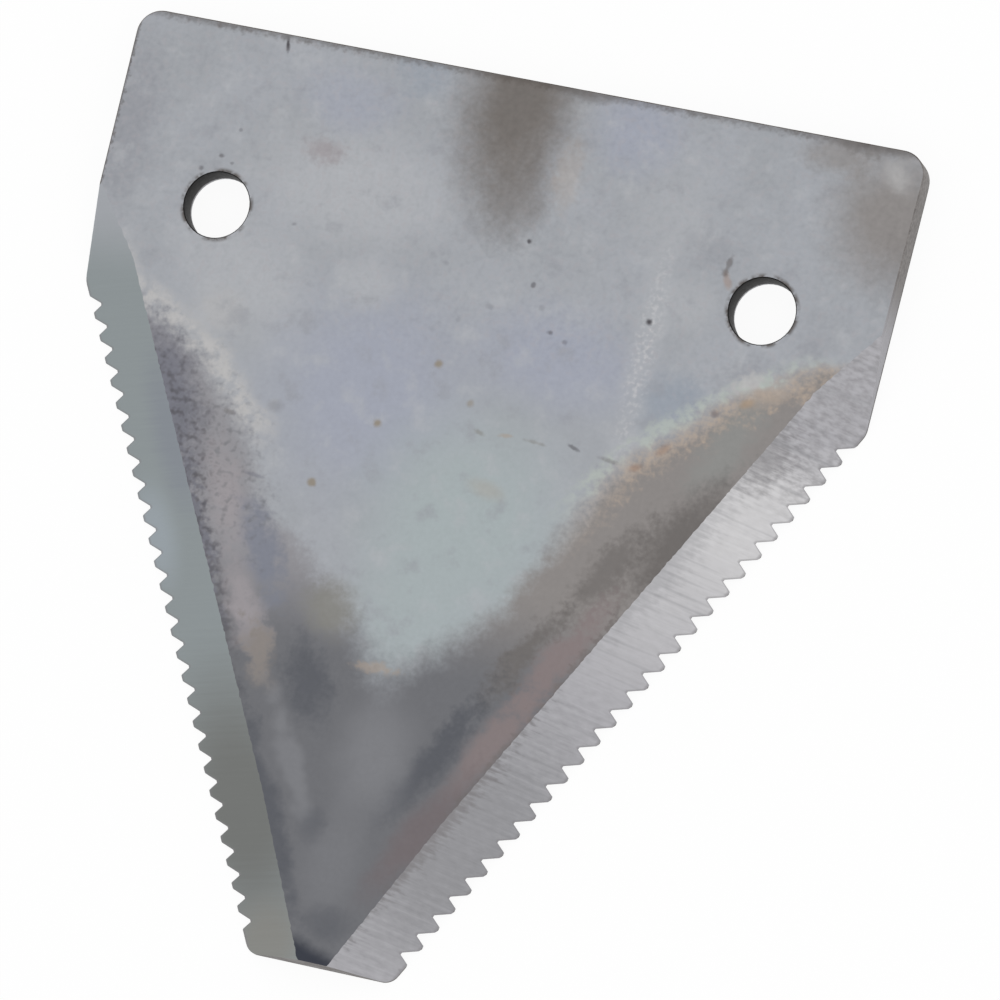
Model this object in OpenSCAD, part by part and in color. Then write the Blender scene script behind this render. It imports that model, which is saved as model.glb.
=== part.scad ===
// Serrated knife section for a sickle-bar mower: one stamped and hardened steel plate.
// It lies on its plain face, with the ground bevels up.
// The origin is midway between the two rivet holes, on the plain face.
// +X runs along the knife bar, +Y points to the back edge, and the cutting point is at -Y.

/* [Plate] */
// Width across the back edge
plate_w = 76; // [64:0.5:90]
// Width across the shoulders, a little less so that neighbours on the bar do not bind
shoulder_w = 75.4; // [62:0.2:90]
// Thickness of the steel
plate_t = 3; // [2:0.1:5]
// Rivet line to the back edge
back_len = 17; // [10:0.5:25]
// Rivet line to the square-cut point
point_len = 66.5; // [50:0.5:80]
// Length of the plain sides, from the back edge to the shoulders
side_len = 25.8; // [20:0.2:32]
// Width of the square cut at the point
point_w = 13.7; // [12:0.1:20]
// Corner radius at the back edge
back_r = 2.3; // [0.5:0.1:6]
// Corner radius at the shoulders
shoulder_r = 2; // [0.5:0.1:4]
// Corner radius at the point
point_r = 1.5; // [0.4:0.1:2]

/* [Rivet holes] */
// Diameter of each rivet hole
hole_d = 6.2; // [4:0.1:9]
// Distance between the two hole centres
hole_pitch = 52.6; // [36:0.1:54]

/* [Ground bevels] */
// Width of the bevel, square to the cutting edge
bevel_w = 5.3; // [3:0.1:5.6]
// Thickness left at the cutting edge
edge_t = 0.2; // [0.1:0.05:0.5]
// Turn of the bevel's inner line as it runs out past the shoulder, in degrees
shoulder_turn = 9; // [1:1:20]
// Length over which the bevel narrows towards the point
point_runout = 14; // [6:1:30]
// How much narrower the bevel is at the point
point_narrowing = 0.5; // [0.1:0.1:1.5]

/* [Serration on the underside] */
// Distance between grooves along the edge
groove_pitch = 2.22; // [1.6:0.02:4]
// Depth of each groove at the edge
groove_depth = 0.86; // [0.7:0.02:1.2]
// Length over which a groove runs out, along itself
groove_len = 6.3; // [3:0.1:6.5]
// Included angle of the V
groove_angle = 90; // [60:1:110]
// Width of the flat along the root of the V
groove_root_w = 0.22; // [0.1:0.02:0.5]
// Lean of the grooves towards the point, off square to the edge, in degrees
groove_lean = 20; // [0:1:28]
// Plain edge from the point's corner to the first gullet, and at least as much at the shoulder
plain_end = 2.7; // [1.5:0.05:8]

/* [Hidden] */
$fn = 96;

// How far a cutting shape reaches past the surface that it cuts
overcut = 2;
// Length of a cutting shape that has to clear the whole plate
cut_reach = plate_w + point_len;

shoulder_y = back_len - side_len;
edge_run = [(shoulder_w - point_w) / 2, shoulder_y + point_len];
edge_len = norm(edge_run);
edge_angle = atan2(edge_run.y, edge_run.x);

bevel_slope = (plate_t - edge_t) / bevel_w;
point_turn = atan(point_narrowing / point_runout);
point_slope = (plate_t - edge_t) / (bevel_w - point_narrowing) / cos(point_turn);

groove_slope = groove_depth / groove_len;
gullet_depth = (groove_depth - edge_t) / (bevel_slope + groove_slope / cos(groove_lean));
groove_count = floor((edge_len - 2 * plain_end) / groove_pitch) + 1;

// The plate's corners in order, each with its radius
corners = [
    [[plate_w / 2, back_len], back_r],
    [[-plate_w / 2, back_len], back_r],
    [[-shoulder_w / 2, shoulder_y], shoulder_r],
    [[-point_w / 2, -point_len], point_r],
    [[point_w / 2, -point_len], point_r],
    [[shoulder_w / 2, shoulder_y], shoulder_r],
];

function unit(v) = v / norm(v);
function corner(i) = corners[(i + len(corners)) % len(corners)][0];
function towards(i, step) = unit(corner(i + step) - corner(i));
function half_turn(i) = acos(towards(i, -1) * towards(i, 1)) / 2;
function tangent_point(i, step) = corner(i) + corners[i][1] / tan(half_turn(i)) * towards(i, step);
function arc_centre(i) =
    corner(i) + corners[i][1] / sin(half_turn(i)) * unit(towards(i, -1) + towards(i, 1));

// Flat outline of the plate: straight sides between tangent points, and a true arc at each corner
module plate_outline() {
    polygon([
        for (i = [0 : len(corners) - 1])
            for (step = [-1, 1])
                tangent_point(i, step)
    ]);
    for (i = [0 : len(corners) - 1])
        translate(arc_centre(i))
            circle(r = corners[i][1]);
}

// Both cutting edges, each in its own frame: +X from the point to the shoulder, +Y into the plate
module both_edges() {
    for (side = [0, 1])
        mirror([side, 0, 0])
            translate([point_w / 2, -point_len, 0])
                rotate(edge_angle)
                    children();
}

// All that lies above a slope that meets the top face at bevel_w inside the edge.
// The slope is turned in plan about that meeting line at the place "at".
module above_slope(at, turn, slope) {
    translate([at, bevel_w, plate_t])
        rotate([90, 0, turn + 90])
            translate([0, 0, -cut_reach])
                linear_extrude(2 * cut_reach)
                    polygon([
                        [overcut, overcut * slope],
                        [-cut_reach, overcut * slope],
                        [-cut_reach, -cut_reach * slope],
                    ]);
}

// What the grinding takes off one edge: a flat bevel that narrows at the point
// and runs out on the plain side past the shoulder
module bevel_cut() {
    intersection() {
        above_slope(edge_len, 0, bevel_slope);
        above_slope(edge_len, -shoulder_turn, bevel_slope);
        above_slope(point_runout, point_turn, point_slope);
    }
}

// One V groove in the underside, deepest at the edge and rising to nothing inside it
module groove_cut() {
    length = groove_len + overcut;
    drop = groove_depth + overcut;
    flank = groove_root_w / 2 + drop * tan(groove_angle / 2);
    translate([gullet_depth * tan(groove_lean), 0, groove_depth])
        rotate([-atan(groove_slope), 0, groove_lean])
            translate([0, length, 0])
                rotate([90, 0, 0])
                    linear_extrude(length + overcut)
                        polygon([
                            [-groove_root_w / 2, 0],
                            [groove_root_w / 2, 0],
                            [flank, -drop],
                            [-flank, -drop],
                        ]);
}

// The row of grooves along one edge, from the point to the shoulder
module serration() {
    for (i = [0 : groove_count - 1])
        translate([plain_end + i * groove_pitch, 0, 0])
            groove_cut();
}

module rivet_holes() {
    for (side = [-1, 1])
        translate([side * hole_pitch / 2, 0, -overcut])
            cylinder(d = hole_d, h = plate_t + 2 * overcut);
}

module knife_section() {
    color("lightslategray")
        difference() {
            linear_extrude(plate_t) plate_outline();
            rivet_holes();
            both_edges() {
                bevel_cut();
                serration();
            }
        }
}

knife_section();
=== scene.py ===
"""Looks of a serrated mower knife section: heat-tinted face, ground bevels, sheared walls and underside."""
import math

import bmesh
import bpy
from mathutils import Matrix, Vector


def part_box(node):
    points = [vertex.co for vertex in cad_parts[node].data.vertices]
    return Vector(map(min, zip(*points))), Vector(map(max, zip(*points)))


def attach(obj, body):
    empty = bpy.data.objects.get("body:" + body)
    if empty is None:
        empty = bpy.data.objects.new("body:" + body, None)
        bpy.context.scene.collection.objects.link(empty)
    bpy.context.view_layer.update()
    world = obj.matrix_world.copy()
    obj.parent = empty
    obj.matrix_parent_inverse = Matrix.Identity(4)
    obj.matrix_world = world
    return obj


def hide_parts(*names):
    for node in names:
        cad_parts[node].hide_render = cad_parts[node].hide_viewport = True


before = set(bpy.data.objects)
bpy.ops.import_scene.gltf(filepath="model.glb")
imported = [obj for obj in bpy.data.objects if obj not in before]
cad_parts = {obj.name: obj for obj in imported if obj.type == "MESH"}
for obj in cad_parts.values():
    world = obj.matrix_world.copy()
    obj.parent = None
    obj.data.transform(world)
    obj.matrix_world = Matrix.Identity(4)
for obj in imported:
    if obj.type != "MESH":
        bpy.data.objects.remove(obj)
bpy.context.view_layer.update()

# Sizes in millimetres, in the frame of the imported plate
MM = 0.001
PLATE_LOW, PLATE_HIGH = (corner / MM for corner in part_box("knife_section"))
BACK_Y = PLATE_HIGH.y
POINT_Y = PLATE_LOW.y
TOP_Z = PLATE_HIGH.z
SIDE_X = PLATE_HIGH.x
POINT_HALF = 6.85
SHOULDER = Vector((37.7, -8.8))
HOLE_X = 26.3
HOLE_R = 3.1
TOOTH_PITCH = 2.22
FIRST_GULLET = 2.7
GULLET_DEPTH = 0.98
GULLET_ROOT = 0.12
GENTLE_FLANK = 1.08
STEEP_FLANK = 0.35
GULLET_LEAD = 0.7
TEETH_MIDDLE = 32.7
TEETH_HALF = 31.2
TEETH_FADE = 0.2
RUN = SHOULDER - Vector((POINT_HALF, POINT_Y))
EDGE_TURN = math.atan2(RUN.x, RUN.y)
LEFT, RIGHT = -1, 1

# Kinds of surface on the blade, kept as a number on each face
FACE, GROUND, SHEARED, UNDERSIDE = range(4)

# Wear and grinding, in millimetres and degrees
TOP_RIM = 0.10
UNDER_RIM = 0.10
HOLE_BREAK = 0.60
TOOTH_WEAR = 0.20
RIM_STEPS = 3
GRIND_DROP = 9
FURROW_CUT = 0.24
FURROW_SPACING = 0.55
FURROW_DEPTH = 0.035
FURROW_OVERRUN = 7.0
FURROW_SEED = 17.0

# Limits that sort the plate's faces by their slope and its edges by their place, in millimetres and degrees
LEVEL_NORMAL = 0.999
BEVEL_NORMAL = 0.5
WALL_NORMAL = -0.1
MERGE_DISTANCE = 0.002
FLAT_ANGLE = 0.8
CREASE_ANGLE = 35
TEETH_Y = SHOULDER.y + 1.5
HOLE_REACH = HOLE_R + 0.2
UPRIGHT_RISE = 0.1
FACE_MARGIN = 0.001
CUT_DISTANCE = 1e-8

# Camera and lamp, in metres, with the lens in millimetres and the lamp in watts
SENSOR_WIDTH = 36.0
LENS_LENGTH = 315.4
CAMERA_PLACE = Vector((0.2164, -0.1417, 0.7585))
CAMERA_LOOK = Vector((-0.2644, 0.1513, -0.9525))
CAMERA_UP = Vector((-0.1915, 0.9597, 0.2056))
LAMP_SIDE = 0.32
LAMP_POWER = 0.06
LAMP_DISTANCE = 0.6
LAMP_TARGET = Vector((0.028, -0.02, 0.0))
TOWARDS_LAMP = Vector((0.503, -0.258, 0.824))

# Floor, in metres, with its drop below the plate in millimetres.
# It lies to one side, so that the seam between its two triangles doesn't pass under the plate.
FLOOR_HALF = 3.0
FLOOR_ASIDE = 1.0
FLOOR_DROP = 0.05
FLOOR_PAINT = (0.9, 0.9, 0.9, 1.0)
FLOOR_GLOW = 0.93
WHITE = (1.0, 1.0, 1.0, 1.0)


def tint(red, green, blue):
    """A colour as the eye reads it on a screen, 0 to 255, made linear for a shader."""
    shares = (red / 255, green / 255, blue / 255)
    linear = [s / 12.92 if s <= 0.04045 else ((s + 0.055) / 1.055) ** 2.4 for s in shares]
    return (*linear, 1.0)


# Colours of the plate's oxides, stains and ground steel
STEEL = tint(162, 165, 170)
PALE_STEEL = tint(167, 170, 176)
DULL_STEEL = tint(152, 154, 160)
PALE_WASH = tint(178, 180, 184)
CREAM = tint(185, 184, 184)
LILAC = tint(162, 166, 179)
SKY = tint(153, 160, 170)
AQUA = tint(167, 176, 178)
MINT = tint(180, 187, 180)
STRAW = tint(177, 162, 148)
RUST = tint(158, 120, 92)
RUST_DUST = tint(170, 148, 124)
OCHRE = tint(148, 140, 128)
DRAB = tint(142, 138, 136)
DUSKY = tint(148, 147, 151)
PEWTER = tint(144, 145, 143)
UMBER = tint(112, 108, 106)
PLUM = tint(137, 126, 126)
MULBERRY = tint(118, 109, 111)
TAN = tint(140, 134, 130)
INDIGO = tint(118, 119, 129)
BLUE_GREY = tint(128, 132, 144)
ROSE_GREY = tint(159, 154, 157)
SLATE = tint(113, 114, 118)
ASH = tint(128, 129, 133)
BLUE_BLACK = tint(94, 96, 102)
NEAR_BLACK = tint(60, 63, 72)
SOOT = tint(115, 109, 104)
OLIVE = tint(137, 136, 131)
SPECK = tint(86, 84, 88)
GROUND_STEEL = tint(166, 165, 169)
# Bright steel, also used as a painted highlight high on the right bevel
BRIGHT_STEEL_AND_HIGHLIGHT = tint(200, 199, 200)
# Dull steel for scratches, also used as painted shade low on the right bevel
SCRATCHED_AND_SHADED_STEEL = tint(142, 142, 145)
SMOKED_STEEL = tint(130, 128, 130)
# Grey-green, painted over the left bevel as reflection and shade
SHADED_GREY_GREEN = tint(142, 149, 151)
PALE_BLUE = tint(154, 162, 168)
OLIVE_GREY = tint(117, 119, 117)
# Brown scale, also used for painted shade round the holes and along the back and left rims
SCALE_AND_SHADE_BROWN = tint(84, 77, 72)
# Near-black, painted as shade inside the bores
BORE_SHADE = tint(22, 21, 21)

# Share of a patch's half size over which its rim fades
PATCH_SOFTNESS = 0.8

# The clouds start away from the plate, because all layers of a noise meet in a star at its origin
CLOUD_SHIFT = (61.0, 83.0, 0.0)


class Signal:
    """One output socket of a shader. Arithmetic on it adds Math nodes."""

    def __init__(self, finish, socket):
        self.finish = finish
        self.socket = socket

    def _math(self, operation, *values, clamp=False):
        settings = {"operation": operation, "use_clamp": clamp}
        return self.finish.node("ShaderNodeMath", settings, dict(enumerate(values)))

    def __add__(self, other):
        return self._math("ADD", self, other)

    def __radd__(self, other):
        return self._math("ADD", other, self)

    def __sub__(self, other):
        return self._math("SUBTRACT", self, other)

    def __rsub__(self, other):
        return self._math("SUBTRACT", other, self)

    def __mul__(self, other):
        return self._math("MULTIPLY", self, other)

    def __rmul__(self, other):
        return self._math("MULTIPLY", other, self)

    def __truediv__(self, other):
        return self._math("DIVIDE", self, other)

    def __abs__(self):
        return self._math("ABSOLUTE", self)

    def times_plus(self, factor, addend):
        """The same number times a factor plus another number, in one node."""
        return self._math("MULTIPLY_ADD", self, factor, addend)

    def limited(self):
        """The same number kept between 0 and 1."""
        return self._math("ADD", self, 0.0, clamp=True)

    def higher_of(self, other):
        return self._math("MAXIMUM", self, other)

    def wrapped(self, low, high):
        """The same number brought into one period, from low to high."""
        return self._math("WRAP", self, high, low)

    def lower_of(self, other, rounding=0.0):
        """The lower of two numbers, with the corner between them rounded off."""
        return self._math("SMOOTH_MIN", self, other, rounding)


class Finish:
    """A material or world under construction, with the few shader tools that this plate needs."""

    def __init__(self, owner):
        owner.use_nodes = True
        self.owner = owner
        self.tree = owner.node_tree
        self.tree.nodes.clear()

    def node(self, kind, settings=None, sockets=None, output=0):
        """Adds a node: settings first, then the values or links of its sockets. Gives one output."""
        made = self.tree.nodes.new(kind)
        for name, value in (settings or {}).items():
            if name == "stops":
                self._fill_ramp(made.color_ramp, value)
            else:
                setattr(made, name, value)
        for name, value in (sockets or {}).items():
            if isinstance(value, Signal):
                self.tree.links.new(value.socket, made.inputs[name])
            else:
                made.inputs[name].default_value = value
        return Signal(self, made.outputs[output] if made.outputs else None)

    @staticmethod
    def _fill_ramp(ramp, stops):
        ramp.interpolation = "LINEAR"
        while len(ramp.elements) < len(stops):
            ramp.elements.new(1.0)
        for element, (position, colour) in zip(ramp.elements, stops):
            element.position = position
            element.color = colour

    def vector(self, operation, *values, output=0):
        return self.node("ShaderNodeVectorMath", {"operation": operation}, dict(enumerate(values)), output)

    def scaled(self, vector, factor):
        return self.node("ShaderNodeVectorMath", {"operation": "SCALE"}, {"Vector": vector, "Scale": factor})

    def joined(self, x, y, z=0.0):
        return self.node("ShaderNodeCombineXYZ", None, {"X": x, "Y": y, "Z": z})

    def parts(self, vector):
        made = self.node("ShaderNodeSeparateXYZ", None, {"Vector": vector}).socket.node
        return [Signal(self, socket) for socket in made.outputs]

    def place(self):
        """Where a point of the plate is, in millimetres."""
        here = self.node("ShaderNodeTexCoord", output="Object")
        return self.scaled(here, 1 / MM)

    def noise(self, vector, scale, detail=2.0, roughness=0.5, output="Fac"):
        sockets = {"Vector": vector, "Scale": scale, "Detail": detail, "Roughness": roughness}
        return self.node("ShaderNodeTexNoise", None, sockets, output)

    def channels(self, colour):
        """The red, green and blue of a colour, as three numbers."""
        made = self.node("ShaderNodeSeparateColor", None, {"Color": colour}).socket.node
        return [Signal(self, socket) for socket in made.outputs]

    def wobbled(self, x, y, scale, reach):
        """The same place, shifted by a smooth random amount of up to about half the reach."""
        red, green, _ = self.channels(self.noise(self.joined(x, y), scale, output="Color"))
        return x + (red - 0.5) * reach, y + (green - 0.5) * reach

    def rise(self, value, start, end, low=0.0, high=1.0):
        """A smooth step from low to high as the value goes from start to end."""
        sockets = {"Value": value, "From Min": start, "From Max": end, "To Min": low, "To Max": high}
        return self.node("ShaderNodeMapRange", {"interpolation_type": "SMOOTHSTEP"}, sockets)

    def strip(self, value, centre, half_width, fade):
        """1 where the value is close to the centre, fading out past the half width."""
        return self.rise(abs(value - centre), half_width + fade, half_width)

    def mix(self, share, below, above):
        settings = {"data_type": "RGBA", "blend_type": "MIX"}
        return self.node("ShaderNodeMix", settings, {"Factor": share, 6: below, 7: above}, 2)

    def blot(self, place, centre, half_size, fray, raggedness, turn=0.0, strength=1.0):
        """An oval patch: its strength inside and 0 at its rim, which is soft and frayed.

        A shader has little room, so a patch takes few nodes and works with single numbers.
        """
        sine, cosine = math.sin(math.radians(turn)), math.cos(math.radians(turn))
        oval = []
        for (share_x, share_y), half in zip(((cosine, sine), (-sine, cosine)), half_size):
            start = -(centre[0] * share_x + centre[1] * share_y) / half
            if share_y:
                start = place[1].times_plus(share_y / half, start)
            oval.append(place[0].times_plus(share_x / half, start) if share_x else start)
        distance = self.vector("LENGTH", self.joined(*oval), output="Value")
        return self.rise(fray.times_plus(raggedness, distance), 1.0, 1.0 - PATCH_SOFTNESS, high=strength)

    def washed(self, colour, place, patches, fray, reach):
        """The colour with soft patches laid over it, their rims frayed by up to about half the reach."""
        for centre, half_size, turn, wash, strength in patches:
            patch = self.blot(place, centre, half_size, fray, reach / min(half_size), turn, strength)
            colour = self.mix(patch, colour, wash)
        return colour

    def edge_place(self, x, y, side):
        """The length along one cutting edge from the point, and the depth in from it, as two numbers."""
        out = x * side - POINT_HALF
        up = y - POINT_Y
        sine, cosine = math.sin(EDGE_TURN), math.cos(EDGE_TURN)
        along = out * sine + up * cosine
        inward = up * sine - out * cosine
        return along, inward

    def hole_distance(self, x, y):
        """How far a point of the plate is from the middle of the nearer hole."""
        return self.vector("LENGTH", self.joined(abs(x) - HOLE_X, y), output="Value")

    def close(self, colour, roughness, metallic, bump):
        """Ends the material in one Principled shader."""
        sockets = {"Base Color": colour, "Roughness": roughness, "Metallic": metallic, "Normal": bump}
        shader = self.node("ShaderNodeBsdfPrincipled", None, sockets)
        self.node("ShaderNodeOutputMaterial", None, {"Surface": shader})
        return self.owner

    def bump(self, height, strength, distance):
        sockets = {"Height": height, "Strength": strength, "Distance": distance * MM}
        return self.node("ShaderNodeBump", None, sockets)


def new_finish(name):
    return Finish(bpy.data.materials.new(name))


# Patches of tone, each as centre, half size, turn in degrees, colour and strength.
# On the bare face, the centre is a place on the plate.
FACE_WASHES = [
    ((-14, 4), (14, 8), 0, PALE_WASH, 0.80),
    ((-22, -6), (12, 7), -35, PALE_WASH, 0.70),
    ((-8, -14), (14, 14), 0, LILAC, 0.90),
    ((9, -8), (12, 7), 0, LILAC, 0.90),
    ((11, 14), (6, 6), 0, LILAC, 0.80),
    ((-16, 12), (7, 4), 0, LILAC, 0.60),
    ((4, -25), (14, 15), 0, AQUA, 1.00),
    ((1, -34), (8, 9), 0, AQUA, 0.80),
    ((20, -10), (5, 4), 45, SKY, 0.90),
    ((-10, 15.5), (4, 3), 0, SKY, 0.60),
    ((20, 5.0), (4, 3.0), 0, DULL_STEEL, 0.50),
    ((26, -6), (4, 2), 30, DULL_STEEL, 0.50),
    ((32, -1), (4, 3), 0, DULL_STEEL, 0.30),
    ((-37, 6), (5, 12), 0, DULL_STEEL, 0.90),
    ((16.5, -3), (2.4, 15), 0, PALE_WASH, 0.50),
    ((16, 7), (6, 6), 0, PALE_WASH, 0.40),
    ((19.5, -1), (4, 4), 0, PALE_WASH, 0.60),
    ((-10.5, -4.5), (4.5, 3.5), 0, PALE_WASH, 0.70),
    ((17, -14), (3, 4), 0, PALE_WASH, 0.40),
    ((-23.6, -9.7), (3.6, 3.0), 0, CREAM, 0.50),
]

# Along the right bevel, the centre is the length along the edge from the point and the depth in from the edge
RIGHT_BAND = [
    ((56, 8.2), (7, 2.8), 0, PEWTER, 0.80),
    ((47, 6.0), (10, 3.4), 0, UMBER, 0.95),
    ((41, 9.2), (8, 2.2), 0, UMBER, 0.70),
    ((32, 7.0), (10, 2.3), 0, PLUM, 0.95),
    ((22, 6.8), (9, 2.4), 0, PLUM, 0.90),
    ((12, 6.4), (10, 2.6), 0, MULBERRY, 0.80),
    ((30, 10.0), (8, 1.9), 0, UMBER, 0.80),
    ((18, 10.0), (11, 2.2), 0, BLUE_BLACK, 1.00),
    ((27, 5.3), (24, 0.8), 0, UMBER, 0.50),
    ((62.3, 8.7), (3, 1.2), -25, STRAW, 0.60),
    ((62, 10.5), (2.6, 1.3), -25, CREAM, 0.80),
]

# Along the left bevel, measured in the same way from the left edge
LEFT_BAND = [
    ((51.5, 5.8), (10.8, 3.9), 0, INDIGO, 0.90),
    ((41, 8.6), (8, 2.4), 0, ROSE_GREY, 0.80),
    ((30, 7.7), (6.5, 2.5), 0, ROSE_GREY, 0.90),
    ((26, 8.0), (4, 1.9), 0, TAN, 0.95),
    ((35, 10.6), (7, 2.6), 0, BLUE_GREY, 0.85),
    ((39, 5.4), (12, 1.2), 0, INDIGO, 0.85),
    ((12, 5.4), (15, 1.8), 0, BLUE_BLACK, 0.95),
    ((22, 11.7), (5.6, 3.3), 0, BLUE_BLACK, 0.90),
    ((15, 8.6), (10, 1.6), 0, ASH, 0.90),
]

# Stains by their places on the plate
STAINS = [
    ((-6.4, -34.4), (4, 3.5), -40, OLIVE, 0.85),
    ((-0.8, -39.1), (2.6, 0.8), 0, STRAW, 0.50),
    ((1.0, -47), (5, 8), 0, ASH, 0.95),
    ((-0.5, -57), (4, 7), 0, ASH, 0.50),
    ((-3.0, -54), (2, 2.6), 0, BLUE_BLACK, 0.60),
    ((0.4, -62.6), (3.5, 2.6), 0, BLUE_BLACK, 0.60),
    ((-0.5, 15), (8, 16), 0, SOOT, 0.90),
    ((1.2, 6), (4.5, 6), 0, SOOT, 0.40),
    ((-0.6, 14.5), (4, 5), 0, SCALE_AND_SHADE_BROWN, 0.12),
    ((5.6, 9), (1.8, 5), 0, STRAW, 0.25),
    ((36.0, 10.5), (8, 9), 0, DRAB, 0.95),
    ((37.5, 6), (3, 6), 0, UMBER, 0.15),
    ((30, 15.5), (5, 3), 0, DRAB, 0.70),
    ((35.6, 14.4), (2.4, 1.5), -30, CREAM, 0.50),
    ((-17.5, 7), (2.8, 1.7), 0, ROSE_GREY, 0.80),
    ((6, 16.9), (4, 1.3), 0, UMBER, 0.45),
    ((33, 16.9), (5, 1.5), 0, UMBER, 0.55),
]

# Specks, nicks and scratches by their places on the plate
MARKS = [
    ((-2.0, -10.5), (0.55, 0.55), 0, OCHRE, 0.95),
    ((1.8, -13.5), (0.50, 0.50), 0, OCHRE, 0.60),
    ((-6.3, -17.0), (0.60, 0.60), 0, OCHRE, 0.95),
    ((-11.0, -23.5), (0.60, 0.60), 0, OCHRE, 0.95),
    ((3.3, -16.0), (0.90, 0.30), -15, OLIVE, 0.60),
    ((5.8, -15.8), (0.90, 0.28), 8, RUST_DUST, 0.40),
    ((8.6, -15.9), (1.50, 0.25), -4, OLIVE, 0.50),
    ((5.2, -21.0), (2.60, 1.20), -10, RUST_DUST, 0.22),
    ((12.3, -15.7), (0.90, 0.25), -18, SPECK, 0.60),
    ((15.8, -16.2), (1.30, 0.30), -8, UMBER, 0.45),
    ((18.2, -16.4), (1.00, 0.55), 20, RUST, 0.40),
    ((20.4, -14.3), (1.30, 0.60), 45, RUST, 0.35),
    ((24.3, -10.1), (0.60, 0.55), 0, MULBERRY, 0.60),
    ((27.0, -8.6), (1.10, 0.60), 30, RUST_DUST, 0.60),
    ((-20.3, -18.6), (1.00, 0.40), -10, UMBER, 0.50),
    ((-16.1, -17.3), (1.10, 0.90), 0, ASH, 0.40),
    ((-16.4, -23.9), (1.30, 0.28), -5, INDIGO, 0.50),
    ((3.5, 2.2), (0.35, 0.35), 0, SPECK, 0.90),
    ((4.9, -1.7), (0.30, 0.35), 0, SPECK, 0.60),
    ((16.3, -3.0), (0.45, 0.45), 0, SPECK, 1.00),
    ((7.5, -5.7), (0.45, 0.35), 0, SPECK, 0.60),
    ((9.0, -6.3), (0.40, 0.30), 0, SPECK, 0.40),
    ((-3.6, -1.2), (0.40, 0.34), 0, SPECK, 0.15),
    ((1.4, -4.4), (0.55, 0.40), 0, SPECK, 0.22),
    ((-1.2, -6.1), (0.40, 0.45), 0, SPECK, 0.15),
    ((6.2, -3.6), (0.40, 0.40), 0, SPECK, 0.18),
    ((-27.0, 4.6), (0.42, 0.26), 0, SPECK, 0.60),
    ((-25.9, 4.1), (0.30, 0.26), 0, SPECK, 0.40),
    ((-25.8, 7.3), (0.30, 0.24), 0, SPECK, 0.35),
    ((-28.6, 3.1), (0.36, 0.30), 30, SPECK, 0.55),
    ((-18.6, -0.4), (0.36, 0.26), 20, SPECK, 0.35),
    ((-23.4, 16.0), (0.30, 1.20), 12, SPECK, 1.00),
    ((22.5, 2.1), (0.50, 1.30), 25, RUST, 0.35),
    ((22.3, 3.7), (0.36, 1.15), -8, SCALE_AND_SHADE_BROWN, 0.50),
    ((22.1, 2.8), (0.45, 0.55), 30, SCALE_AND_SHADE_BROWN, 0.40),
]

# Streaks of the ground bevels, by length along the edge and depth in from it. On the right, the bright steel
# high along the edge is a painted highlight and the darker steel low down is painted shade.
RIGHT_GROUND = [
    ((54, 1.0), (13, 12), 0, BRIGHT_STEEL_AND_HIGHLIGHT, 0.75),
    ((47, 3.0), (18, 12), 0, BRIGHT_STEEL_AND_HIGHLIGHT, 0.45),
    ((64, 3.5), (8, 6), 0, GROUND_STEEL, 1.00),
    ((58, 4.8), (5, 2.6), 0, SMOKED_STEEL, 0.60),
    ((14, 3.0), (20, 10), 0, SCRATCHED_AND_SHADED_STEEL, 0.95),
    ((0, 2.0), (5, 6), 0, GROUND_STEEL, 0.20),
    ((45, 5.6), (14, 2.4), 0, SCRATCHED_AND_SHADED_STEEL, 0.35),
    ((13, 5.5), (16, 1.5), 0, SMOKED_STEEL, 0.90),
]
# On the left, the grey-green, pale blue and olive-grey are painted reflection and shade over the ground steel
LEFT_GROUND = [
    ((48, 5.0), (11, 3.0), 0, BLUE_GREY, 0.50),
    ((40, 0.8), (7, 3.2), 0, PALE_BLUE, 0.90),
    ((13, 3.0), (18, 10), 0, OLIVE_GREY, 1.00),
    ((0, 2.0), (6, 6), 0, OLIVE, 0.80),
]

# Depth of the hardened zone in from each edge, at lengths along the edge from the point, in millimetres
HEAT_DEPTH = {
    RIGHT: [(20, 18.5), (28, 15.4), (32, 14.4), (46, 14.4), (50, 13.9), (58, 10.8), (67.5, 5.9), (70, 2.5)],
    LEFT: [
        (20, 18.5), (25, 17.5), (30, 15.8), (34, 14.4), (38, 11.8),
        (46, 11.7), (54, 9.4), (58, 7.0), (64, 3.3),
    ],
}
EDGE_SPAN = 70
DEPTH_SPAN = 20


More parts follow.
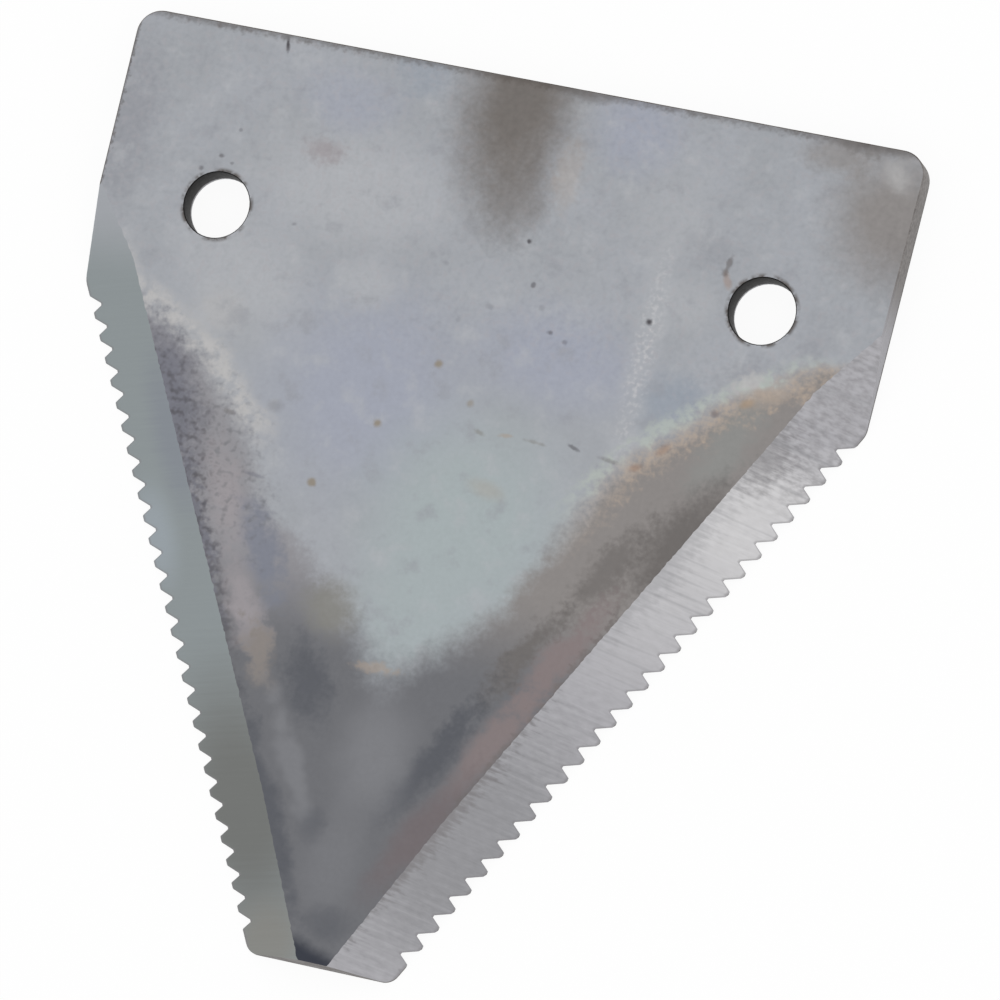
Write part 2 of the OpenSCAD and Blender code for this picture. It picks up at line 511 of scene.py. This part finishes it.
def heat_tinted_face():
    """The flat top: bare steel in the middle, heat-tinted bands along the bevels, stains and specks."""
    finish = new_finish("heat_tinted_face")
    x, y, _ = finish.parts(finish.place())
    plan = finish.joined(x, y)
    grain = finish.noise(plan, scale=2.2, detail=1.5)
    mottle = finish.noise(plan, scale=0.7, detail=3.0, roughness=0.6)
    cloud = finish.noise(plan, scale=0.12, detail=3.0)
    fray = ((grain - 0.5) * 0.6 + (mottle - 0.5) * 1.2) * finish.rise(y, -50, -38, low=0.35)
    drifted = finish.wobbled(x, y, scale=0.3, reach=2.0)

    colour = finish.mix(finish.rise(cloud, 0.3, 0.7), STEEL, PALE_STEEL)
    colour = finish.washed(colour, drifted, FACE_WASHES, fray, reach=1.5)
    pepper = finish.noise(plan, scale=1.5, detail=1.0)
    tinge = (pepper - 0.5) * finish.rise(y, -16, -4)
    colour = finish.mix(finish.rise(tinge, 0.0, 0.2) * 0.25, colour, ROSE_GREY)
    clouds = finish.vector("ADD", plan, CLOUD_SHIFT)
    bloom = finish.noise(clouds, scale=0.32, detail=4.0, roughness=0.6)
    colour = finish.mix(finish.rise(bloom, 0.52, 0.72) * 0.5, colour, PALE_WASH)
    colour = finish.mix(finish.rise(bloom, 0.46, 0.28) * 0.5, colour, DULL_STEEL)

    edges, heat, lengths = {}, {}, {}
    for side in (LEFT, RIGHT):
        along, inward = finish.edge_place(*drifted, side)
        stops = [(s / EDGE_SPAN, (d / DEPTH_SPAN,) * 3 + (1.0,)) for s, d in HEAT_DEPTH[side]]
        ramp = finish.node("ShaderNodeValToRGB", {"stops": stops}, {"Fac": along / EDGE_SPAN})
        depth, _, _ = finish.channels(ramp)
        lengths[side] = along
        edges[side] = along, inward
        heat[side] = inward - depth * DEPTH_SPAN + fray * 1.9
    heat_line = heat[LEFT].lower_of(heat[RIGHT], rounding=3.0)

    upper = finish.rise(y, -39, -29)
    right_half = finish.rise(x, -3, 3)
    broken = finish.rise(mottle, 0.36, 0.60)
    mint_fringe = finish.strip(heat[RIGHT], 1.6, 0.3, 0.9) * finish.strip(lengths[RIGHT], 55, 8, 8)
    colour = finish.mix(mint_fringe * broken * 0.7, colour, MINT)
    cream_streak = finish.strip(heat[LEFT], 1.4, 0.5, 1.7) * finish.strip(lengths[LEFT], 56, 8, 6)
    colour = finish.mix(cream_streak * (0.25 + broken * 0.75), colour, CREAM)
    hot = finish.rise(heat_line * finish.rise(y, -38, -28, low=0.5, high=0.9), 1.3, -1.3)
    colour = finish.mix(hot, colour, finish.mix(upper, SLATE, finish.mix(right_half, DUSKY, DRAB)))
    straw_line = finish.strip(heat[RIGHT], -0.4, 0.6, 1.5) * finish.rise(lengths[RIGHT], 36, 53)
    colour = finish.mix(straw_line * finish.rise(grain + mottle, 0.65, 1.45) * 0.9, colour, STRAW)

    colour = finish.washed(colour, edges[RIGHT], RIGHT_BAND, fray, reach=2.2)
    smear = fray * 0.75 + (finish.noise(plan, scale=0.55, detail=1.0) - 0.5) * 0.6
    colour = finish.washed(colour, edges[LEFT], LEFT_BAND, smear, reach=2.6)
    left_rim = finish.blot(edges[LEFT], (49, 5.6), (13, 4.6), fray, raggedness=0.8)
    colour = finish.mix(left_rim * finish.rise(pepper, 0.40, 0.75) * 0.75, colour, SPECK)
    left_line = finish.blot(edges[LEFT], (35, 5.5), (15, 1.7), fray, raggedness=0.8)
    colour = finish.mix(left_line * finish.rise(pepper, 0.36, 0.66) * 0.60, colour, SPECK)
    left_flecks = finish.blot(edges[LEFT], (44, 9.0), (14, 6.0), fray, raggedness=0.8)
    colour = finish.mix(left_flecks * finish.rise(pepper, 0.52, 0.22) * 0.60, colour, SLATE)
    pale_dots = finish.blot((x, y), (16.5, -6.0), (1.7, 14.0), fray, raggedness=0.5)
    colour = finish.mix(pale_dots * finish.rise(grain, 0.44, 0.72) * 0.5, colour, BRIGHT_STEEL_AND_HIGHLIGHT)
    colour = finish.washed(colour, drifted, STAINS, fray, reach=1.4)
    colour = finish.washed(colour, (x, y), MARKS, fray, reach=0.3)

    from_hole = finish.hole_distance(x, y)
    # Painted shade round the rims of the holes, mottled, in the brown of the scale
    hole_rim_shade = finish.rise(from_hole, HOLE_R + 0.55, HOLE_R + 0.1) * finish.rise(mottle, 0.42, 0.62)
    colour = finish.mix(hole_rim_shade * 0.9, colour, SCALE_AND_SHADE_BROWN)
    # Darker brown along the back and left rims: scale, with painted shade of the rounded rim
    ragged = (grain - 0.5) * 1.2
    back_rim = finish.rise(y + ragged, BACK_Y - 0.9, BACK_Y - 0.1)
    side_rim = finish.rise(x + ragged, 0.5 - SIDE_X, 0.1 - SIDE_X)
    colour = finish.mix(((back_rim + side_rim) * mottle).limited(), colour, SCALE_AND_SHADE_BROWN)
    burnt_point = finish.rise(y + x * 0.3 + fray, POINT_Y + 2.2, POINT_Y + 0.4)
    colour = finish.mix(burnt_point, colour, NEAR_BLACK)

    colour = finish.scaled(colour, 0.88 + grain * 0.10 + mottle * 0.14 + tinge * 0.22)
    roughness = 0.42 + mottle * 0.16
    metallic = 0.9 - mottle * 0.1
    texture = finish.bump(grain + mottle, strength=0.25, distance=0.02)
    return finish.close(colour, roughness, metallic, texture)


def ground_bevel():
    """Both ground bevels, streaked along the grinding: bright with a painted highlight on the right, and
    grey-green with painted reflection and shade on the left.
    """
    finish = new_finish("ground_bevel")
    x, y, _ = finish.parts(finish.place())
    out = abs(x)
    drop = math.radians(GRIND_DROP)
    across = out * math.sin(drop) + y * math.cos(drop)
    with_grind = out * math.cos(drop) - y * math.sin(drop)

    def brushed(with_scale, across_scale, detail=2.0, roughness=0.6):
        stretched = finish.joined(with_grind * with_scale, across * across_scale)
        return finish.noise(stretched, scale=1.0, detail=detail, roughness=roughness)

    streak = brushed(0.12, 3.0)
    grain = brushed(1.5, 5.0)
    scuff = brushed(1.1, 2.0, roughness=0.55)
    scratch = finish.rise(brushed(0.08, 1.6, detail=1.0, roughness=0.5), 0.54, 0.70)
    along, inward = finish.edge_place(out, y, RIGHT)
    ground = along, inward

    # Right bevel: ground steel with a painted highlight high along the edge and painted shade low down
    right = finish.washed(GROUND_STEEL, ground, RIGHT_GROUND, streak + scuff - 1.0, reach=2.5)
    rough_end = finish.rise(along, 53, 59) * finish.rise(scuff, 0.66, 0.26)
    right = finish.mix(rough_end * 0.45, right, SMOKED_STEEL)
    right = finish.mix(scratch * finish.rise(along, 20, 44, low=0.15, high=0.40), right, SCRATCHED_AND_SHADED_STEEL)
    # Brightness streaks: grinding marks, with painted glints of the furrows, strong on this side
    right = finish.scaled(right, 0.77 + streak * 0.22 + scuff * 0.24 + grain * 0.04)
    # Left bevel: painted grey-green reflection and shade
    left = finish.washed(SHADED_GREY_GREEN, ground, LEFT_GROUND, streak - 0.5, reach=1.0)
    left = finish.mix(finish.rise(y, -9.0, -1.5), left, STEEL)
    # Faint streaks, with only faint painted glints on this side
    left = finish.scaled(left, 0.94 + streak * 0.06 + grain * 0.06)
    colour = finish.mix(finish.rise(x, -1, 1), left, right)

    offset = (along - FIRST_GULLET).wrapped(-GULLET_LEAD, TOOTH_PITCH - GULLET_LEAD)
    flank = (offset - GULLET_ROOT) / GENTLE_FLANK
    flank = flank.higher_of((-GULLET_ROOT - offset) / STEEP_FLANK).higher_of(0.0)
    toothed = finish.strip(along, TEETH_MIDDLE, TEETH_HALF, TEETH_FADE)
    outline = (GULLET_DEPTH - flank).higher_of(0.0) * toothed
    # Darker along the toothed edge
    tooth_outline = finish.rise(inward - outline, 0.32, 0.06) * finish.rise(y, SHOULDER.y + 1.0, SHOULDER.y)
    colour = finish.mix(tooth_outline * 0.55, colour, SMOKED_STEEL)
    texture = finish.bump(streak + grain * 0.3, strength=0.2, distance=0.03)
    return finish.close(colour, roughness=0.34 + grain * 0.12, metallic=0.92, bump=texture)


def sheared_edge():
    """The upright walls and the bores: darker, mottled brown at the back and on the left, and painted shade
    in the bores.
    """
    finish = new_finish("sheared_edge")
    place = finish.place()
    x, y, z = finish.parts(place)
    grain = finish.noise(place, scale=2.5, detail=3.0, roughness=0.6)
    brown = finish.mix(finish.rise(grain, 0.2, 0.8), UMBER, DRAB)
    wall = finish.mix(finish.rise(y + grain * 6, 2, 9), GROUND_STEEL, brown)
    # Darker, mottled brown on the walls at the back, on the left and along the teeth
    dark_side = finish.rise(y, BACK_Y - 1.4, BACK_Y - 0.4) + finish.rise(x, 1.4 - SIDE_X, 0.6 - SIDE_X)
    dark_side = dark_side + finish.rise(y, SHOULDER.y, SHOULDER.y - 1.5) * 0.8
    blotches = finish.noise(place, scale=0.6, detail=3.0, roughness=0.6)
    mottled_brown = finish.mix(finish.rise(blotches, 0.42, 0.62), SCALE_AND_SHADE_BROWN, UMBER)
    wall = finish.mix(dark_side.limited(), wall, mottled_brown)
    # Darker brown towards the bottom of the walls
    wall = finish.mix(finish.rise(z + grain * 0.4, 0.6, 0.3), wall, SCALE_AND_SHADE_BROWN)
    from_hole = finish.hole_distance(x, y)
    # Bores: near-black painted shade up the walls, with plain steel in the break-out at the bottom
    shaded_bore = finish.mix(finish.rise(z + grain * 0.2, 0.85, 0.65), BORE_SHADE, GROUND_STEEL)
    colour = finish.mix(finish.rise(from_hole, HOLE_R + 0.8, HOLE_R + 0.4), wall, shaded_bore)
    colour = finish.scaled(colour, 0.85 + grain * 0.3)
    texture = finish.bump(grain, strength=0.4, distance=0.05)
    return finish.close(colour, roughness=0.5 + grain * 0.2, metallic=0.8 - grain * 0.2, bump=texture)


def scaled_underside():
    """The underside: the same heat tint, with bare steel in the grooves."""
    finish = new_finish("scaled_underside")
    x, y, z = finish.parts(finish.place())
    plan = finish.joined(x, y)
    grain = finish.noise(plan, scale=2.0, detail=3.0, roughness=0.6)
    mottle = finish.noise(plan, scale=0.5, detail=4.0, roughness=0.6)
    cloud = finish.noise(plan, scale=0.1, detail=3.0)
    _, inward = finish.edge_place(abs(x), y, RIGHT)
    depth = inward + (mottle - 0.5) * 6.0 + (grain - 0.5) * 3.0
    colour = finish.mix(cloud, STEEL, DULL_STEEL)
    colour = finish.mix(finish.strip(depth, 13.5, 0.5, 1.5) * 0.6, colour, STRAW)
    colour = finish.mix(finish.rise(depth, 13.5, 11.0), colour, DRAB)
    colour = finish.mix(finish.rise(depth, 11.0, 7.0), colour, BLUE_GREY)
    colour = finish.mix(finish.rise(z, 0.03, 0.10), colour, GROUND_STEEL)
    colour = finish.mix(finish.rise(mottle, 0.60, 0.72) * 0.5, colour, TAN)
    colour = finish.scaled(colour, 0.9 + grain * 0.2)
    texture = finish.bump(grain + mottle, strength=0.3, distance=0.03)
    return finish.close(colour, roughness=0.42 + mottle * 0.2, metallic=0.9 - mottle * 0.1, bump=texture)


def surface_kind(face):
    """Which of the four kinds of surface a face of the plain plate belongs to."""
    if face.normal.z > LEVEL_NORMAL:
        return FACE
    if face.normal.z > BEVEL_NORMAL:
        return GROUND
    if face.normal.z > WALL_NORMAL:
        return SHEARED
    return UNDERSIDE


def plain_blade():
    """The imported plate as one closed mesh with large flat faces, each marked with its kind."""
    blade = bmesh.new()
    blade.from_mesh(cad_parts["knife_section"].data)
    bmesh.ops.remove_doubles(blade, verts=blade.verts, dist=MERGE_DISTANCE * MM)
    flat = math.radians(FLAT_ANGLE)
    bmesh.ops.dissolve_limit(
        blade, angle_limit=flat, verts=blade.verts, edges=blade.edges, delimit={"NORMAL"}
    )
    blade.normal_update()
    kind = blade.faces.layers.int.new("finish")
    for face in blade.faces:
        face[kind] = surface_kind(face)
    return blade


def roll_over(blade, edges, width):
    """Rounds off the given edges, and marks the new faces as sheared steel."""
    kind = blade.faces.layers.int["finish"]
    made = bmesh.ops.bevel(
        blade,
        geom=edges,
        offset=width * MM,
        segments=RIM_STEPS,
        profile=0.5,
        affect="EDGES",
        clamp_overlap=True,
    )
    for face in made["faces"]:
        face[kind] = SHEARED


def beside_hole(place):
    return math.hypot(abs(place.x) - HOLE_X * MM, place.y) < HOLE_REACH * MM


def round_rims(blade):
    """Rolls the stamped rims over a little. Both holes break out wider on the underside."""
    kind = blade.faces.layers.int["finish"]
    rounds = ((FACE, TOP_RIM, None), (UNDERSIDE, UNDER_RIM, False), (UNDERSIDE, HOLE_BREAK, True))
    for flat_kind, width, of_hole in rounds:
        rims = []
        for edge in blade.edges:
            kinds = {face[kind] for face in edge.link_faces}
            clear_of_teeth = all(v.co.y > TEETH_Y * MM for v in edge.verts)
            at_hole = all(beside_hole(v.co) for v in edge.verts)
            if kinds == {flat_kind, SHEARED} and clear_of_teeth and of_hole in (None, at_hole):
                rims.append(edge)
        roll_over(blade, rims, width)
    blade.normal_update()


def round_teeth(blade):
    """Wears the two upright corners of each tooth round."""
    kind = blade.faces.layers.int["finish"]
    corners = []
    for edge in blade.edges:
        kinds = {face[kind] for face in edge.link_faces}
        on_edge = all(v.co.y < TEETH_Y * MM for v in edge.verts)
        upright = abs(edge.verts[0].co.z - edge.verts[1].co.z) > UPRIGHT_RISE * MM
        if kinds == {UNDERSIDE, SHEARED} and on_edge and upright:
            corners.append(edge)
    roll_over(blade, corners, TOOTH_WEAR)
    # Rounding may push a point below the flat underside
    for vert in blade.verts:
        vert.co.z = max(vert.co.z, 0.0)
    blade.normal_update()


def across_furrows(normal, side):
    """The direction in a ground bevel that runs across its furrows."""
    drop = math.radians(GRIND_DROP)
    flat = Vector((side * math.cos(drop), -math.sin(drop), 0.0))
    with_grain = (flat - normal * flat.dot(normal)).normalized()
    return normal.cross(with_grain).normalized()


def ground_faces(blade, side):
    kind = blade.faces.layers.int["finish"]
    return [f for f in blade.faces if f[kind] == GROUND and f.normal.x * side > 0]


def cut_furrows(blade):
    """Cuts each ground bevel into narrow strips along the grinding, and marks where each point may go."""
    across_layer = blade.verts.layers.float.new("across_grind")
    drop_layer = blade.verts.layers.float_vector.new("grind_drop")
    for side in (LEFT, RIGHT):
        ground = ground_faces(blade, side)
        normal = max(ground, key=lambda f: f.calc_area()).normal.copy()
        across = across_furrows(normal, side)
        reach = [v.co.dot(across) for f in ground for v in f.verts]
        count = int((max(reach) - min(reach)) / (FURROW_CUT * MM))
        for step in range(1, count):
            ground = ground_faces(blade, side)
            parts = dict.fromkeys(item for f in ground for item in (f, *f.edges, *f.verts))
            level = min(reach) + step * FURROW_CUT * MM
            bmesh.ops.bisect_plane(
                blade, geom=list(parts), dist=CUT_DISTANCE, plane_co=across * level, plane_no=across
            )
        inwards = Vector((-normal.x, -normal.y, 0.0)).normalized()
        for vert in {v for f in ground_faces(blade, side) for v in f.verts}:
            vert[across_layer] = vert.co.dot(across) / MM
            on_face = vert.co.z > (TOP_Z - FACE_MARGIN) * MM
            vert[drop_layer] = inwards * FURROW_OVERRUN if on_face else -normal


def mark_sharp(blade):
    """Smooth shading, with a crease where the kind of surface changes or the shape turns sharply."""
    kind = blade.faces.layers.int["finish"]
    for face in blade.faces:
        face.smooth = True
    for edge in blade.edges:
        kinds = {face[kind] for face in edge.link_faces}
        same_kind = len(edge.link_faces) == 2 and len(kinds) == 1
        edge.smooth = same_kind and edge.calc_face_angle(0) < math.radians(CREASE_ANGLE)


def furrow_tree(finishes):
    """Geometry nodes that press furrows into the strips and give each kind of surface its finish."""
    tree = bpy.data.node_groups.new("grinding_furrows", "GeometryNodeTree")
    sockets = [("Geometry", "NodeSocketGeometry"), ("Depth", "NodeSocketFloat")]
    sockets += [("Spacing", "NodeSocketFloat"), ("Seed", "NodeSocketFloat")]
    for name, kind in sockets:
        tree.interface.new_socket(name, in_out="INPUT", socket_type=kind)
    tree.interface.new_socket("Geometry", in_out="OUTPUT", socket_type="NodeSocketGeometry")

    def node(kind, settings=None, **links):
        made = tree.nodes.new(kind)
        for name, value in (settings or {}).items():
            setattr(made, name, value)
        for name, value in links.items():
            socket = made.inputs[name.replace("_", " ")]
            if isinstance(value, bpy.types.NodeSocket):
                tree.links.new(value, socket)
            else:
                socket.default_value = value
        return made

    def maths(operation, *values):
        made = node("ShaderNodeMath", {"operation": operation})
        for value, socket in zip(values, made.inputs):
            tree.links.new(value, socket)
        return made.outputs[0]

    given = tree.nodes.new("NodeGroupInput").outputs
    across = node("GeometryNodeInputNamedAttribute", {"data_type": "FLOAT"}, Name="across_grind")
    drop = node("GeometryNodeInputNamedAttribute", {"data_type": "FLOAT_VECTOR"}, Name="grind_drop")
    kind = node("GeometryNodeInputNamedAttribute", {"data_type": "INT"}, Name="finish")
    furrow = maths("ADD", maths("DIVIDE", across.outputs["Attribute"], given["Spacing"]), given["Seed"])
    wave = node("ShaderNodeTexNoise", {"noise_dimensions": "1D"}, W=furrow, Scale=1.0, Detail=2.0)
    deep = maths("MULTIPLY", wave.outputs[0], given["Depth"])
    ways = drop.outputs["Attribute"]
    offset = node("ShaderNodeVectorMath", {"operation": "SCALE"}, Vector=ways, Scale=deep)
    shape = node("GeometryNodeSetPosition", Geometry=given["Geometry"], Offset=offset.outputs[0]).outputs[0]
    shape = node("GeometryNodeRealizeInstances", Geometry=shape).outputs[0]
    for number, material in finishes.items():
        same = node("FunctionNodeCompare", {"data_type": "INT", "operation": "EQUAL"})
        tree.links.new(kind.outputs["Attribute"], same.inputs[2])
        same.inputs[3].default_value = number
        chosen = same.outputs[0]
        painted = node("GeometryNodeSetMaterial", Geometry=shape, Selection=chosen, Material=material)
        shape = painted.outputs[0]
    tree.links.new(shape, tree.nodes.new("NodeGroupOutput").inputs[0])
    return tree


def make_blade():
    """The finished blade, as a plain mesh in the frame's place."""
    shape = plain_blade()
    round_rims(shape)
    round_teeth(shape)
    cut_furrows(shape)
    mark_sharp(shape)
    mesh = bpy.data.meshes.new("blade")
    shape.to_mesh(mesh)
    shape.free()
    blade = bpy.data.objects.new("blade", mesh)
    bpy.context.scene.collection.objects.link(blade)

    finishes = {
        FACE: heat_tinted_face(),
        GROUND: ground_bevel(),
        SHEARED: sheared_edge(),
        UNDERSIDE: scaled_underside(),
    }
    furrows = blade.modifiers.new("furrows", "NODES")
    furrows.node_group = furrow_tree(finishes)
    given = {"Depth": FURROW_DEPTH * MM, "Spacing": FURROW_SPACING, "Seed": FURROW_SEED}
    for item in furrows.node_group.interface.items_tree:
        if item.in_out == "INPUT" and item.name in given:
            furrows[item.identifier] = given[item.name]
    graph = bpy.context.evaluated_depsgraph_get()
    finished = bpy.data.meshes.new_from_object(
        blade.evaluated_get(graph), preserve_all_data_layers=True, depsgraph=graph
    )
    blade.modifiers.clear()
    blade.data = finished
    for name in ("across_grind", "grind_drop", "finish"):
        finished.attributes.remove(finished.attributes[name])
    return blade


def white_floor():
    """A wide white floor. It shows white, keeps a faint shadow, and is clear from below."""
    mesh = bpy.data.meshes.new("floor")
    left, right = FLOOR_ASIDE - FLOOR_HALF, FLOOR_ASIDE + FLOOR_HALF
    corners = [(left, -FLOOR_HALF), (right, -FLOOR_HALF), (right, FLOOR_HALF), (left, FLOOR_HALF)]
    mesh.from_pydata([(x, y, -FLOOR_DROP * MM) for x, y in corners], [], [(0, 1, 2, 3)])
    floor = bpy.data.objects.new("floor", mesh)
    bpy.context.scene.collection.objects.link(floor)
    finish = new_finish("white_floor")
    matte = finish.node("ShaderNodeBsdfDiffuse", None, {"Color": FLOOR_PAINT})
    glow = finish.node("ShaderNodeEmission", None, {"Color": WHITE, "Strength": 1.0})
    clear = finish.node("ShaderNodeBsdfTransparent")
    seen = shown_to_eye(finish) * FLOOR_GLOW
    top = finish.node("ShaderNodeMixShader", None, {0: seen, 1: matte, 2: glow})
    below = finish.node("ShaderNodeNewGeometry", output="Backfacing")
    whole = finish.node("ShaderNodeMixShader", None, {0: below, 1: top, 2: clear})
    finish.node("ShaderNodeOutputMaterial", None, {"Surface": whole})
    mesh.materials.append(finish.owner)


def shown_to_eye(finish):
    """1 for what the camera sees straight, in a reflection or through glass."""
    rays = finish.node("ShaderNodeLightPath").socket.node.outputs
    straight, gloss, through = (
        Signal(finish, rays[name]) for name in ("Is Camera Ray", "Is Glossy Ray", "Is Transmission Ray")
    )
    return (straight + gloss + through).limited()


def soft_box():
    """A large soft lamp above the right bevel."""
    lamp = bpy.data.lights.new("soft_box", "AREA")
    lamp.shape = "RECTANGLE"
    lamp.size, lamp.size_y = LAMP_SIDE, LAMP_SIDE
    lamp.energy = LAMP_POWER
    holder = bpy.data.objects.new("soft_box", lamp)
    bpy.context.scene.collection.objects.link(holder)
    holder.location = LAMP_TARGET + TOWARDS_LAMP * LAMP_DISTANCE
    holder.rotation_mode = "QUATERNION"
    holder.rotation_quaternion = (-TOWARDS_LAMP).to_track_quat("-Z", "Y")


def white_room():
    """An even white room."""
    world = bpy.data.worlds.new("white_room")
    bpy.context.scene.world = world
    room = Finish(world)
    light = room.node("ShaderNodeBackground", None, {"Color": WHITE, "Strength": 1.0})
    room.node("ShaderNodeOutputWorld", None, {"Surface": light})


def photo_camera():
    """A long lens above the plate, to the right of the point."""
    lens = bpy.data.cameras.new("camera")
    lens.sensor_width = SENSOR_WIDTH
    lens.lens = LENS_LENGTH
    camera = bpy.data.objects.new("camera", lens)
    bpy.context.scene.collection.objects.link(camera)
    look = CAMERA_LOOK.normalized()
    right = look.cross(CAMERA_UP).normalized()
    up = right.cross(look)
    turn = Matrix((right, up, -look)).transposed().to_4x4()
    camera.matrix_world = Matrix.Translation(CAMERA_PLACE) @ turn
    bpy.context.scene.camera = camera


bpy.context.scene.view_settings.view_transform = "Standard"
photo_camera()
white_room()
white_floor()
soft_box()

blade = make_blade()
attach(blade, "root")
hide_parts("knife_section")
